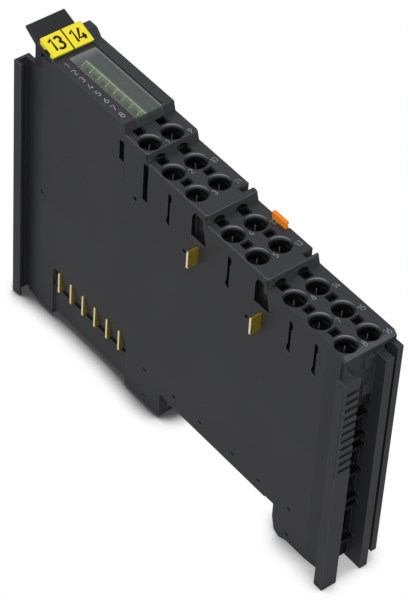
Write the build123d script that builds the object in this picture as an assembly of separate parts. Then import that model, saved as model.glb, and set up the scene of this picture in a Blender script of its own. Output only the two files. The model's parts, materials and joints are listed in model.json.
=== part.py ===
from build123d import *
import os

# A slim rail-mounted digital input module with sixteen push-in terminals.
# Millimetres. X runs along the module, towards the terminal end; Y runs along the mounting rail;
# Z points to the front. The origin is the middle of the rail seat, on the rail's front plane.

# Mounting rail: top-hat form, 35 mm wide
rail_width = 35.0
rail_sheet = 1.0
rail_clearance = 0.3
hook_reach = 2.0
hook_thickness = 2.0
seat_half = 15.2
seat_relief = 0.3

# Housing envelope
length = 100.0
width = 12.0
terminal_end = 35.3
end_depth = 7.2
foot_depth = 6.15
wall = 1.2
floor = 1.5
fit_gap = 0.1
slide_gap = 0.2

# Stepped front with its terminals: one block per step, from the status end down to the terminal end
terminal_top = 52.0
front_step = 2.0
face_thickness = 1.6
riser_lean = 0.6
front_inset = 2.6
end_chamfer = 0.8
block_columns = (1, 2, 2, 3)
blade_rooms = (0, 3.45, 3.45, 0)
blade_insets = (0, 2.35, 1.55, 0)
entry_lead = 4.5
entry_pitch = 7.1
entry_tail = 2.85
entry_radius = 2.0
entry_rim = 0.3
entry_rim_depth = 0.7
near_row = -3.55
row_pitch = 5.3
slot_back = 3.55
slot_length = 1.8
slot_width = 2.2
slot_shift = 0.3
scallop_depth = 1.0
scallop_rise = 0.9
scallop_spread = 0.4
shoulder_radius = 0.5
corner_radius = 0.8

# Clamp chambers behind the entries
chamber_back = 4.0
chamber_front = 2.15
chamber_width = 3.3
clamp_depth = 12.5
clamp_width = 2.9
clamp_sheet = 0.35
clamp_bend = 0.3
clamp_foot = 2.2
clamp_lip = 1.6
clamp_top_gap = 2.2
wire_window = 2.3
bar_offset = 1.45
bar_thickness = 0.55
bar_width = 2.6
bar_foot = 0.6
bar_spacing = 1.1

# Status block, its clear window, the light guide and the lamps
bay_length = 9.3
window_inset = 1.7
window_near = -3.0
window_far = 3.3
window_depth = 2.4
window_skin = 0.8
channels = 8
guide_lead = 4.15
guide_tail = 1.89
guide_thickness = 0.9
guide_width = 0.7
guide_reach = 1.75
guide_leg = 6.0
lamp_height = 1.1
lamp_share = 0.48
lamp_board_sheet = 0.8
far_strip_gap = 0.3

# Marker carrier and its two markers
carrier_thickness = 1.8
carrier_near = -5.95
carrier_far = 3.3
carrier_height = 62.6
carrier_slope = 0.3365
carrier_plate = 0.9
carrier_stem = 30.0
carrier_travel = 22.0
carrier_foot = 2.0
well_depth = 4.6
bay_drop = 4.6
marker_thickness = 1.3
marker_near = -5.7
marker_split = -0.9
marker_far = 3.8
marker_gap = 0.2

# Hooks and ribs that slide into the next module
hook_proud = 1.87
hook_skin = 0.52
hook_web = 0.6
hook_lip = 2.3
column_far = -4.3
pocket_floor = -5.3
lead_depth = 0.4
marker_setback = 2.6
terminal_setback = 4.0
marker_hook_top = 54.6
terminal_hook_top = 48.4
middle_rib = (1.6, 3.4)
outer_rib = (4.75, 6.0)
outer_rib_short = 0.6
end_webs = (33.7, 28.0, 25.2, 18.3, 11.2, 9.1, -0.4)
end_web_sheet = 0.7
end_tab_drops = (0.3, 7.2)
end_tab_height = 2.8
grip_lead = 2.9
grip_grooves = 11
grip_pitch = 2.0
grip_height = 1.0
grip_depth = 0.35

# Cover, circuit board and the parts on it
cover_thickness = 1.6
board_thickness = 0.8
board_drop = 11.5
board_floor = 11.0
coupler_size = (3.4, 2.0, 6.0)
coupler_pitch = 4.6
coupler_low = 22.0
resistor_low = 31.0
resistor_size = (2.0, 0.6, 3.2)
chip_size = (9.0, 1.2, 9.0)
capacitor_radius = 3.0
capacitor_height = 5.2

# Power blades on the near side and forks on the far side
blade_thickness = 0.5
blade_edge = 0.12
blade_height = 4.1
blade_proud = 2.4
blade_below_top = 13.3
fork_gap = 0.9
fork_leaf = 0.4
fork_length = 4.2
blade_slot = 1.4

# Data contacts
data_count = 6
data_pitch = 4.0
data_start = 12.95
data_bottom = 1.6
data_top = 6.9
data_proud = 0.2
data_sheet = 0.5
data_recess = 1.0
recess_ledge = 0.55
recess_margin = 2.3

# Release tab, rail latch and return spring
tab_width = 3.9
tab_thickness = 0.75
tab_rise = 1.4
tab_x = 0.15
tab_travel = 3.0
latch_travel = 2.4
pin_radius = 0.8
pin_gap = 0.15
slot_margin = 1.25
pin_height = 4.2
slider_height = 1.8
slider_width = 1.6
latch_width = 6.0
spring_coils = 6
spring_wire = 0.5
spring_length = 11.5
spring_width = 2.1

os.makedirs("parts", exist_ok=True)

near = -width / 2
far = width / 2
marker_end = terminal_end - length
body_left = marker_end + marker_setback
body_right = terminal_end - terminal_setback
far_row = near_row + row_pitch
cover_inner = far - cover_thickness
board_far = cover_inner - fit_gap / 2
board_near = board_far - board_thickness
chamber_near = near + wall


# Boxes and prisms

def block(x0, x1, y0, y1, z0, z1):
    centre = Pos((x0 + x1) / 2, (y0 + y1) / 2, (z0 + z1) / 2)
    return centre * Box(abs(x1 - x0), abs(y1 - y0), abs(z1 - z0))


def side_prism(points, y0, y1):
    # The outline is seen from the near side, as pairs of x and z
    plane = Plane(origin=(0, y1, 0), x_dir=(1, 0, 0), z_dir=(0, -1, 0))
    return extrude(plane * make_face(Polyline(*points, close=True)), y1 - y0)


def plan_prism(points, z0, z1):
    # The outline is seen from the front, as pairs of x and y
    plane = Plane(origin=(0, 0, z0))
    return extrude(plane * make_face(Polyline(*points, close=True)), z1 - z0)


def end_prism(points, x0, x1):
    # The outline is seen along the module, as pairs of y and z
    plane = Plane(origin=(x0, 0, 0), x_dir=(0, 1, 0), z_dir=(1, 0, 0))
    return extrude(plane * make_face(Polyline(*points, close=True)), x1 - x0)


# The stepped front, laid out from the terminal end

class Step:
    def __init__(self, start, end, top, columns, blade):
        self.start = start
        self.end = end
        self.top = top
        self.seat = top - face_thickness
        self.entries = [start + entry_lead + i * entry_pitch for i in range(columns)]
        self.slots = [x - slot_back for x in self.entries]
        self.blade = end - blade if blade else None


def front_steps():
    steps = []
    end = terminal_end - front_inset
    top = terminal_top
    for columns, room, inset in reversed(list(zip(block_columns, blade_rooms, blade_insets))):
        span = entry_lead + (columns - 1) * entry_pitch + entry_tail + room
        steps.insert(0, Step(end - span, end, top, columns, inset))
        end -= span
        top += front_step
    return steps


steps = front_steps()
status_end = steps[0].start
status_start = marker_end + bay_length
status_top = steps[0].top + front_step
bay_floor = status_top - bay_drop
well_x0 = body_left + 1.5
well_x1 = well_x0 + carrier_thickness + 2 * slide_gap
carrier_x0 = well_x0 + slide_gap
carrier_x1 = carrier_x0 + carrier_thickness
cavity_left = body_left + wall
cavity_right = body_right - wall
cavity_top = terminal_top - 14.0
end_face = steps[-1].end - slide_gap
guide_pitch = (status_end - status_start - guide_lead - guide_tail) / (channels - 1)
lamp_size = lamp_share * guide_pitch
rail_half = rail_width / 2
rail_edge = rail_half + rail_clearance
data_x = [body_left + data_start - data_pitch / 2 + i * data_pitch for i in range(data_count)]
recess_x0 = data_x[0] - recess_margin
recess_x1 = data_x[-1] + recess_margin


# Outlines of the body

def body_outline():
    points = [
        (body_left, -foot_depth),
        (recess_x0, -foot_depth),
        (recess_x0, -foot_depth + wall),
        (recess_x1, -foot_depth + wall),
        (recess_x1, -foot_depth),
        (-rail_edge, -foot_depth),
        (-rail_edge, seat_relief),
        (-seat_half, seat_relief),
        (-seat_half, 0),
        (seat_half, 0),
        (seat_half, seat_relief),
        (rail_edge, seat_relief),
        (rail_edge, -foot_depth / 2),
        (rail_edge + 0.8, -foot_depth),
        (rail_edge + 2.4, -end_depth + 0.3),
        (rail_edge + 4.4, -foot_depth),
        (body_right, -foot_depth),
        (body_right, steps[-1].seat),
    ]
    for i in range(len(steps) - 1, -1, -1):
        step = steps[i]
        if i < len(steps) - 1:
            points += [(step.end - wall, steps[i + 1].seat), (step.end - wall, step.seat)]
    points += [
        (status_end, steps[0].seat),
        (status_end, steps[0].top),
        (status_end - riser_lean, status_top),
        (status_start, status_top),
        (status_start, bay_floor),
        (body_left, bay_floor),
    ]
    return points


def cover_outline(gap):
    # The cover stops short of the stepped front and stays above the rail
    left = cavity_left + gap
    right = cavity_right - gap
    low = -foot_depth + 2 * wall + gap
    high = floor + gap
    points = [
        (left, low),
        (-rail_edge - wall - gap, low),
        (-rail_edge - wall - gap, high),
        (rail_edge + wall + gap, high),
        (rail_edge + wall + gap, low),
        (right, low),
    ]
    for i in range(len(steps) - 1, -1, -1):
        step = steps[i]
        points.append((right if i == len(steps) - 1 else step.end - gap, step.top - 4.0 - gap))
        points.append((step.start - gap, step.top - 4.0 - gap))
    points += [
        (status_end - gap, status_top - 4.0 - gap),
        (status_start + wall + gap, status_top - 4.0 - gap),
        (status_start + wall + gap, bay_floor - 4.0 - gap),
        (left, bay_floor - 4.0 - gap),
    ]
    return points


# Housing shell

def end_hook(outer, inward, top, setback):
    # A column with a lip that grips the outer rib of the next module
    web = block(outer, outer + inward * hook_web, near - hook_proud, column_far, -end_depth, top)
    lip = block(outer, outer + inward * hook_lip, near - hook_proud,
                near - hook_proud + hook_skin, -end_depth, top)
    base = block(outer, outer + inward * (setback + 0.5), pocket_floor, column_far, -foot_depth, top)
    return web + lip + base


def end_ribs(outer, inward, top, setback):
    middle = block(outer, outer + inward * (setback + 0.5), *middle_rib, -end_depth, top)
    side = block(outer + inward * outer_rib_short, outer + inward * (setback + 0.5), *outer_rib,
                 -foot_depth + wall, top + 1.0)
    return middle + side


def lead_in(face, inward, reach):
    # The side eases back towards a hook, so that the next module's rib slides in
    tip = face - inward * 0.5
    return plan_prism([(tip, near), (face + inward * reach, near), (tip, near + lead_depth)],
                      -end_depth - 1, bay_floor)


def clamp_chambers():
    cuts = []
    for step in steps:
        for x in step.entries:
            for row in (near_row, far_row):
                y0 = row - chamber_width / 2
                y1 = row + chamber_width / 2 if row == near_row else board_near
                cuts.append(block(x - chamber_back, x + chamber_front, y0, y1,
                                  cavity_top - 0.5, step.seat))
            # Passage for the near contact's foot
            foot = step.top - clamp_depth - bar_spacing
            cuts.append(block(x + bar_offset - fit_gap, x + bar_offset + bar_thickness + fit_gap,
                              near_row, board_near, foot - fit_gap, foot + bar_foot + fit_gap))
    return cuts


def board_room():
    cuts = []
    for step in steps:
        cuts.append(block(step.start - 2, min(step.end + 0.5, cavity_right), board_near - fit_gap,
                          cover_inner, cavity_top - 1, step.top - board_drop + slide_gap))
    return cuts


def blade_rooms_cut():
    cuts = []
    half = fork_gap / 2 + fork_leaf + slide_gap
    for step in steps:
        if step.blade is None:
            continue
        low = step.top - blade_below_top
        high = low + blade_height
        # Blade passage, fork chamber and the slot by which the next blade comes in from the front
        cuts.append(block(step.blade - blade_thickness / 2 - fit_gap,
                          step.blade + blade_thickness / 2 + fit_gap,
                          near - 0.1, 2.0, low - fit_gap, high + fit_gap))
        cuts.append(block(step.blade - half, step.blade + half, cover_inner - 3.2, far + 0.1,
                          low - 2.0, high + 1.2))
        cuts.append(block(step.blade - blade_slot / 2, step.blade + blade_slot / 2,
                          far - 2.6, far + 0.1, high, step.top + 0.1))
    return cuts


def end_slot():
    # Plain window below the first riser
    first = steps[0]
    return block(first.end - 1.4, first.end + 0.3, near - 0.1, near + 0.9, first.top - 11.9,
                 first.top - 2.8)


def slim_slots():
    # Narrow windows over the clamp chambers, wider at both ends
    cuts = []
    depth = near + wall + 0.6
    slots = [(x + 2.15, step.top) for step in steps for x in step.entries[:-1]]
    for x, top in slots:
        low = top - 10.6
        high = top - 2.7
        cuts.append(block(x - 0.45, x + 0.35, near - 0.1, depth, low + 0.3, high))
        cuts.append(block(x - 0.1, x + 0.65, near - 0.1, depth, high - 1.9, high - 0.2))
        cuts.append(side_prism([(x - 0.8, low + 0.9), (x - 0.45, low + 2.1), (x + 0.35, low + 1.2),
                                (x + 0.6, low), (x - 0.7, low + 0.3)], near - 0.1, depth))
    # The two plain windows of the first block
    first = steps[0]
    cuts.append(block(first.start - 1.5, first.start + 0.1, near - 0.1, near + 0.9,
                      first.top - 7.1, first.seat - 0.6))
    cuts.append(block(first.start + 0.05, first.start + 0.25, near - 0.1, near + 0.3,
                      first.top - 12.1, first.top - 7.1))
    cuts.append(end_slot())
    return cuts


def blade_windows():
    # Slanted windows in front of each power blade
    cuts = []
    for step in steps:
        if step.blade is None:
            continue
        x = step.blade
        top = step.seat - 0.1
        cuts.append(side_prism([(x - 2.2, top - 6.0), (x + 2.3, top - 6.0), (x + 1.0, top - 0.1),
                                (x - 1.5, top), (x - 2.2, top - 1.5)], near - 0.1, near + 1.1))
        cuts.append(block(x - 4.3, x - 3.4, near - 0.1, near + 0.8, top - 12.0, top - 11.0))
        cuts.append(block(x - 0.2, x + 0.9, near - 0.1, near + 1.1, top - 7.4, top - 6.9))
    return cuts


def snap_holes():
    # Small blind holes along the lower edge, where the moulded inner pins sit
    cuts = []
    places = [(-57.6, 24.4), (-28.1, 44.6), (-22.8, 2.8), (-22.7, -4.4), (-13.4, 3.0), (-5.1, 3.0),
              (5.0, 3.0), (13.0, 2.5), (22.2, 2.7), (22.2, -4.45)]
    for x, z in places:
        cuts.append(block(x - 0.5, x + 0.5, near - 0.1, near + 0.7, z - 0.45, z + 0.45))
    return cuts


def data_recess_cut():
    # The side slopes inwards below the data contacts, down to a ledge
    top = data_top + 0.35
    ledge = data_bottom
    points = [(near - 0.1, top), (near, top), (near + data_recess, ledge),
              (near + recess_ledge, ledge), (near + recess_ledge, -end_depth), (near - 0.1, -end_depth)]
    cuts = [end_prism(points, recess_x0, recess_x1)]
    # Pocket beside the first contact, open to the insulator
    cuts.append(block(recess_x0 + 0.3, data_x[0] - data_sheet, near - 0.1, chamber_near + fit_gap,
                      ledge, data_top))
    for x in data_x:
        cuts.append(block(x - data_sheet / 2 - fit_gap, x + data_sheet / 2 + fit_gap, near - 0.1,
                          chamber_near, data_bottom - fit_gap, data_top + fit_gap))
    return cuts


def housing_shell():
    shell = side_prism(body_outline(), near, far)
    # The end wall stands further out behind the last terminals
    shell += block(body_right - 0.5, end_face, pocket_floor, middle_rib[1], cavity_top - 1.0,
                   steps[-1].seat)
    shell += end_hook(marker_end, 1, marker_hook_top, marker_setback)
    shell += end_hook(terminal_end, -1, terminal_hook_top, terminal_setback)
    shell += end_ribs(marker_end, 1, marker_hook_top - 1.0, marker_setback)
    shell += end_ribs(terminal_end, -1, steps[-1].seat - 1.2, terminal_setback)
    cuts = [lead_in(body_left, 1, 4.4), lead_in(body_right, -1, 3.5)]
    # Rebate for the cover
    cuts.append(side_prism(cover_outline(0), cover_inner, far + 0.1))
    # Main cavity, lower cavity at the marker end, and the latch chamber
    low = -foot_depth + 2 * wall
    stem_wall = well_x1 + wall
    cuts.append(block(stem_wall, cavity_right, chamber_near, cover_inner, floor, cavity_top))
    cuts.append(block(cavity_left, -rail_edge - wall, chamber_near, cover_inner, low, floor + 0.1))
    cuts.append(block(cavity_left, stem_wall + 1, chamber_near, cover_inner, floor,
                      bay_floor - carrier_stem - 3.0))
    cuts.append(block(rail_edge + wall, cavity_right, chamber_near, cover_inner, low, floor + 0.1))
    # Well for the stem of the marker carrier, and the groove for its foot
    cuts.append(block(well_x0, well_x1, -well_depth - slide_gap, 2.8,
                      bay_floor - carrier_stem - 4.0, bay_floor + 0.1))
    cuts.append(block(well_x0, well_x1, 2.7, cover_inner, bay_floor - carrier_stem - 4.0,
                      bay_floor - carrier_stem + carrier_foot + carrier_travel + 0.3))
    # Window seat and lamp chamber in the status block
    cuts.append(block(status_start + window_inset, status_end + 0.1, window_near, window_far,
                      status_top - window_depth, status_top + 0.1))
    cuts.append(block(status_start + window_inset + 0.5, status_end - 1.0, window_near + 0.4,
                      window_far - 0.4, lamp_top() - 1, status_top - window_depth + 0.1))
    cuts.append(block(status_start + window_inset, status_end - 1.0, chamber_near, cover_inner,
                      cavity_top - 0.1, lamp_top() + fit_gap))
    # Seam beside the window
    cuts.append(block(status_start - 0.1, status_end - 1.0, window_far + 0.15,
                      window_far + 0.15 + far_strip_gap, status_top - 0.6, status_top + 0.1))
    # Window for the latch in the face beside the rail
    cuts.append(block(rail_edge - 0.1, rail_edge + wall + 0.1, -latch_width / 2 - slide_gap,
                      latch_width / 2 + slide_gap, -rail_sheet - hook_thickness - 0.8,
                      -rail_sheet + 0.1))
    # Notch where the release tab leaves the front
    cuts.append(block(tab_x - tab_width / 2 - slide_gap, tab_x + tab_width / 2 + slide_gap,
                      cover_inner + 0.6, far + 0.1, terminal_top - 8, terminal_top + 4))
    cuts += clamp_chambers() + board_room() + blade_rooms_cut() + slim_slots()
    cuts += blade_windows() + snap_holes() + data_recess_cut()
    for cut in cuts:
        shell -= cut
    # Bay walls beside the markers: a low one on the near side, a rounded ear on the far side
    shell += block(well_x1 + 0.1, status_start + 0.1, near, near + wall, bay_floor - 0.5,
                   status_top - 1.2)
    ear_far = status_top + 1.6
    ear = side_prism([(carrier_x0 + 0.7, bay_floor - 0.5), (status_start + 0.1, bay_floor - 0.5),
                      (status_start + 0.1, status_top), (carrier_x1 + 1.8, ear_far),
                      (carrier_x0 + 0.7, ear_far)], marker_far + 0.2, far)
    rounded = ear.edges().filter_by(Axis.Y).sort_by(Axis.Z)[-2:]
    shell += fillet(rounded, 0.9)
    # Fixed hook that reaches behind the rail's edge
    hook_z = -rail_sheet - rail_clearance
    shell += side_prism([(-rail_edge - 0.5, hook_z), (-rail_edge + hook_reach, hook_z),
                         (-rail_edge + hook_reach, hook_z - hook_thickness / 2),
                         (-rail_edge + hook_reach / 2, hook_z - hook_thickness),
                         (-rail_edge - 0.5, hook_z - hook_thickness)], near + wall, far - wall)
    # Webs across the channel at the terminal end, open to the inside between them, and snap tabs
    for upper, lower in zip(end_webs, end_webs[1:]):
        if upper - lower > 4 * end_web_sheet:
            shell -= block(body_right - wall - 0.5, body_right + 0.1, column_far + 0.5,
                           middle_rib[0] - 0.3, lower + end_web_sheet / 2,
                           upper - end_web_sheet / 2)
    for z in end_webs:
        shell += block(body_right - 0.2, end_face, column_far - 0.2, middle_rib[0] + 0.2,
                       z - end_web_sheet / 2, z + end_web_sheet / 2)
    for drop in end_tab_drops:
        z = terminal_hook_top - drop
        shell += block(end_face - 0.2, end_face + 0.5, -1.2, 0.75, z - end_tab_height / 2,
                       z + end_tab_height / 2)
    # Grip grooves across the end of the terminal hook
    for i in range(grip_grooves):
        z = terminal_hook_top - grip_lead - i * grip_pitch
        shell -= block(terminal_end - grip_depth, terminal_end + 0.1,
                       near - hook_proud + hook_skin, column_far + 0.1, z - grip_height / 2,
                       z + grip_height / 2)
    return shell


# Stepped terminal faces

def terminal_face(index):
    step = steps[index]
    last = index == len(steps) - 1
    lower = step.seat if last else steps[index + 1].seat
    drop = step.top - end_chamfer if last else step.top - front_step
    lean = end_chamfer if last else riser_lean
    points = [(step.start, step.seat), (step.start, step.top), (step.end - lean, step.top),
              (step.end, drop), (step.end, lower)]
    if not last:
        points += [(step.end - wall, lower), (step.end - wall, step.seat)]
    face = side_prism(points, near, far)
    # Soft shoulder and near corner of the riser
    if not last:
        middle = (step.end - lean / 2, near, (step.top + drop) / 2)
        corner = face.edges().sort_by_distance(middle)[0]
        face = fillet(corner, corner_radius)
        shoulder = face.edges().sort_by_distance((step.end - lean, 0, step.top))[0]
        face = fillet(shoulder, shoulder_radius)
    face -= end_slot()
    for x in step.entries:
        for row in (near_row, far_row):
            face -= Pos(x, row, step.top - face_thickness / 2) * Cylinder(entry_radius,
                                                                          face_thickness + 0.2)
            face -= Pos(x, row, step.top - entry_rim_depth / 2) * Cone(
                entry_radius, entry_radius + entry_rim, entry_rim_depth)
    for x in step.slots:
        for row in (near_row, far_row):
            y = row + slot_shift
            face -= block(x - slot_length / 2, x + slot_length / 2, y - slot_width / 2,
                          y + slot_width / 2, step.seat - 0.1, step.top + 0.1)
    # The riser above this block is scalloped over the next block's first slots
    if not last:
        below = steps[index + 1]
        for row in (near_row, far_row):
            y = row + slot_shift
            half = slot_width / 2
            face -= end_prism([(y - half - scallop_spread, below.top - 0.1),
                               (y - half, below.top + 0.6 * scallop_rise),
                               (y, below.top + scallop_rise),
                               (y + half, below.top + 0.6 * scallop_rise),
                               (y + half + scallop_spread, below.top - 0.1)],
                              step.end - scallop_depth, step.end + 0.1)
    if step.blade is not None:
        face -= block(step.blade - blade_slot / 2, step.blade + blade_slot / 2, far - 2.6,
                      far + 0.1, step.seat - front_step - face_thickness, step.top + 0.1)
    if step.start < tab_x < step.end:
        face -= block(tab_x - tab_width / 2 - slide_gap, tab_x + tab_width / 2 + slide_gap,
                      cover_inner + 0.6, far + 0.1, step.seat - 0.1, step.top + 0.1)
    return face


# Side cover with the release tab's groove

def side_cover():
    cover = side_prism(cover_outline(fit_gap), cover_inner, far)
    groove = tab_width / 2 + slide_gap
    cover -= block(tab_x - groove, tab_x + groove, cover_inner + 0.6, far + 0.1, floor + 0.6,
                   terminal_top)
    # Slot for the drive pin
    pin_room = pin_radius + pin_gap + 0.05
    cover -= block(tab_x - pin_room, tab_x + pin_room, cover_inner - 0.1, far,
                   pin_height - pin_room, pin_height + tab_travel + pin_room)
    # Peg that the return spring presses against
    peg = pin_height + 8.0 + spring_length
    cover += block(tab_x - 0.9, tab_x + 0.9, cover_inner + 0.5, far - 0.1, peg, peg + 1.6)
    for cut in blade_rooms_cut():
        cover -= cut
    for x in data_x:
        cover -= block(x - 1.05, x + 1.05, cover_inner - 0.1, far + 0.1, data_bottom - 0.15,
                       data_top + 0.15)
    return cover


# Status window, light guide and lamps

def led_window():
    z0 = status_top - window_depth
    left = status_start + window_inset + fit_gap / 2
    window = block(left, status_end, window_near + fit_gap / 2, window_far - fit_gap / 2, z0,
                   status_top)
    lean = side_prism([(status_end - riser_lean, status_top), (status_end + 1, status_top + 0.1),
                       (status_end + 1, z0 - 1), (status_end, status_top - front_step)],
                      window_near - 1, window_far + 1)
    window -= lean
    window -= block(left + 0.8, status_end - 1.0, window_near + 0.7, window_far - 0.7, z0 - 0.1,
                    status_top - window_skin)
    return window


def guide_x():
    first = status_start + guide_lead
    return [first + i * guide_pitch for i in range(channels)]


def light_guide():
    # A comb: one spine, and for each channel a slanted branch that ends over its lamp
    z1 = status_top - window_skin - fit_gap
    z0 = z1 - guide_thickness
    xs = guide_x()
    half = guide_width / 2
    guide = block(xs[0] - 1.1, xs[-1] + 0.6, -half, half, z0, z1)
    for x in xs:
        branch = [(x - 0.6 - half, 0), (x - 0.6 + half, 0), (x + half, -guide_reach),
                  (x - half, -guide_reach)]
        guide += plan_prism(branch, z0, z1)
        guide += block(x - half, x + half, -guide_reach - half, -guide_reach + half,
                       z0 - guide_leg, z1)
    return guide


def lamp_top():
    return status_top - window_skin - fit_gap - guide_thickness - guide_leg - fit_gap


def lamp(index):
    x = guide_x()[index]
    z1 = lamp_top()
    base = block(x - lamp_size / 2, x + lamp_size / 2, -guide_reach - lamp_size / 2,
                 -guide_reach + lamp_size / 2, z1 - lamp_height, z1 - 0.3)
    return base + Pos(x, -guide_reach, z1 - 0.15) * Cylinder(0.5, 0.3)


def lamp_board():
    z1 = lamp_top() - lamp_height
    return block(status_start + window_inset + 2 * fit_gap, status_end - wall - 2 * fit_gap,
                 chamber_near + 2 * fit_gap, board_near, z1 - lamp_board_sheet, z1)


# Circuit board and the parts on it

def circuit_board():
    left = well_x1 + wall + 0.4
    board = block(left, cavity_right - 0.4, board_near, board_far, board_floor, cavity_top - 0.5)
    board += block(left, recess_x1 + 0.6, board_near, board_far, floor - 3.0, board_floor + 1)
    board += block(status_start + window_inset + 0.4, status_end - 1.2, board_near, board_far,
                   cavity_top - 1, lamp_top() - lamp_height)
    for step in steps:
        board += block(step.start - 0.5, min(step.end, cavity_right - 0.4), board_near, board_far,
                       cavity_top - 1, step.top - board_drop)
    for step in steps:
        if step.blade is not None:
            board -= block(step.blade - 2.2, step.blade + 2.2, board_near - 1, board_far + 1,
                           step.top - blade_below_top - 2.4, status_top)
    return board


def coupler_x(index):
    return steps[2].start + index * coupler_pitch


def couplers():
    lx, ly, lz = coupler_size
    pieces = [block(coupler_x(i) - lx / 2, coupler_x(i) + lx / 2, board_near - ly, board_near,
                    coupler_low, coupler_low + lz) for i in range(channels)]
    return Compound(pieces)


def resistors():
    lx, ly, lz = resistor_size
    pieces = [block(coupler_x(i) - lx / 2, coupler_x(i) + lx / 2, board_near - ly, board_near,
                    resistor_low, resistor_low + lz) for i in range(channels)]
    return Compound(pieces)


def logic_chip():
    lx, ly, lz = chip_size
    x = steps[1].start
    return block(x, x + lx, board_near - ly, board_near, coupler_low - 1, coupler_low - 1 + lz)


def capacitor():
    x = status_end - capacitor_radius - 1
    turned = Location((x, board_near - capacitor_height / 2, coupler_low + 3), (90, 0, 0))
    return turned * Cylinder(capacitor_radius, capacitor_height)


# Data contacts, their insulator and the far pads

def data_insulator():
    body = block(recess_x0 + 0.4, recess_x1 - 0.4, chamber_near + fit_gap, board_near - fit_gap,
                 floor - 3.2, data_top + 1.2)
    for x in data_x:
        body -= block(x - data_sheet / 2 - 0.05, x + data_sheet / 2 + 0.05, near, far,
                      data_bottom - 0.05, data_top + 0.05)
    return body


def data_contact(index):
    # A flat blade that stands a little proud, with a narrower tail to the board
    x = data_x[index]
    middle = (data_bottom + data_top) / 2
    contact = block(x - data_sheet / 2, x + data_sheet / 2, near - data_proud, board_near,
                    data_bottom, data_top)
    nose = contact.edges().filter_by(Axis.X).sort_by(Axis.Y)[:2]
    contact = chamfer(nose, data_proud / 2)
    contact -= block(x - data_sheet, x + data_sheet, chamber_near + 2, board_near - 1.2,
                     middle + 0.9, data_top + 1)
    return contact


def data_pads():
    pads = []
    for x in data_x:
        pad = block(x - 0.9, x + 0.9, board_far, far - data_proud, data_bottom, data_top)
        pad -= block(x - 1, x + 1, board_far - 1, far - data_proud - 0.4, data_bottom + 0.5,
                     data_top - 0.5)
        pads.append(pad)
    return Compound(pads)


# Power contacts

def power_contact(step):
    # A blade on the near side and a two-leaf fork on the far side, from one strip
    x = step.blade
    low = step.top - blade_below_top
    high = low + blade_height
    root = far - fork_length
    half = blade_thickness / 2
    blade = side_prism([(x - half, low), (x + half, low), (x + half, high), (x - half, high)],
                       near - blade_proud, root)
    tip = blade.edges().filter_by(Axis.X).sort_by(Axis.Y)[:2]
    contact = chamfer(tip, blade_edge)
    reach = fork_gap / 2 + fork_leaf
    contact += block(x - reach, x + reach, root - fork_leaf, root, low, high)
    for side in (-1, 1):
        contact += block(x + side * fork_gap / 2, x + side * reach, root - fork_leaf, far - 0.3,
                         low - 1.5, high)
    return contact


# Clamp springs and contact bars

def clamp_spring(x, row, top):
    # A bent strip: up beside the contact bar, over the wire and down to the bar's foot
    high = top - face_thickness - clamp_top_gap
    low = top - clamp_depth
    right = x + bar_offset - clamp_sheet / 2
    left = x - chamber_back + 2 * clamp_sheet
    outer = (left - clamp_sheet, right, low, high)
    inner = (left, right - clamp_sheet, low + clamp_sheet, high - clamp_sheet)
    points = [(outer[1], low + clamp_foot), (outer[1], low + clamp_bend),
              (outer[1] - clamp_bend, low), (outer[0] + clamp_bend, low),
              (outer[0], low + clamp_bend), (outer[0], high - clamp_bend),
              (outer[0] + clamp_bend, high), (outer[1] - clamp_bend, high),
              (outer[1], high - clamp_bend), (outer[1], high - clamp_lip),
              (inner[1], high - clamp_lip), (inner[1], inner[3]), (inner[0], inner[3]),
              (inner[0], inner[2]), (inner[1], inner[2]), (inner[1], low + clamp_foot)]
    strip = side_prism(points, row - clamp_width / 2, row + clamp_width / 2)
    strip -= block(x - wire_window / 2, x + wire_window / 2 - 0.3, row - wire_window / 2,
                   row + wire_window / 2, high - 0.5, high + 0.5)
    return strip


def contact_bars(row, depth):
    bars = []
    for step in steps:
        for x in step.entries:
            x0 = x + bar_offset
            x1 = x0 + bar_thickness
            foot = step.top - clamp_depth - depth
            bar = block(x0, x1, row - bar_width / 2, row + bar_width / 2, foot,
                        step.seat - front_step - slide_gap)
            bar += block(x0, x1, row, board_near, foot, foot + bar_foot)
            bars.append(bar)
    return Compound(bars)


# Marker carrier and markers

def slope_z(x):
    # Height of the carrier's sloping plate above the rail
    return carrier_height - (x - (carrier_x0 - 3.4)) * carrier_slope


def marker_carrier():
    tip = carrier_x0 - 3.4
    end = status_start - 0.25
    shoulder = bay_floor + 0.1
    head = side_prism([(tip, slope_z(tip)), (end, slope_z(end)), (end, slope_z(end) - carrier_plate),
                       (carrier_x1, slope_z(carrier_x1) - carrier_plate), (carrier_x1, shoulder),
                       (carrier_x0, shoulder), (carrier_x0, status_top + 0.25),
                       (tip + 0.35, slope_z(tip) - 0.4)], carrier_near, carrier_far)
    foot_z = bay_floor - carrier_stem
    stem = block(carrier_x0, carrier_x1, -well_depth, 2.6, foot_z, shoulder)
    stem += block(carrier_x0, carrier_x1, 2.5, cover_inner - 0.3, foot_z, foot_z + carrier_foot)
    return head + stem


def marker(y0, y1, notch):
    x0 = carrier_x1 - 0.7
    x1 = status_start + 0.7
    bend = status_start - 0.4
    rise = marker_thickness
    plate = side_prism([(x0, slope_z(x0) + 0.02), (bend, slope_z(bend) + 0.02),
                        (x1 - 0.35, status_top + 0.12), (x1, slope_z(x1) + rise),
                        (x0, slope_z(x0) + rise)], y0, y1)
    if notch:
        middle = (x0 + x1) / 2
        plate -= block(middle - 0.8, middle + 1.0, y0 - 0.1, y0 + 0.45, status_top - 2,
                       slope_z(middle) + 0.75)
    return plate


# Release tab, rail latch and return spring

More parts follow.
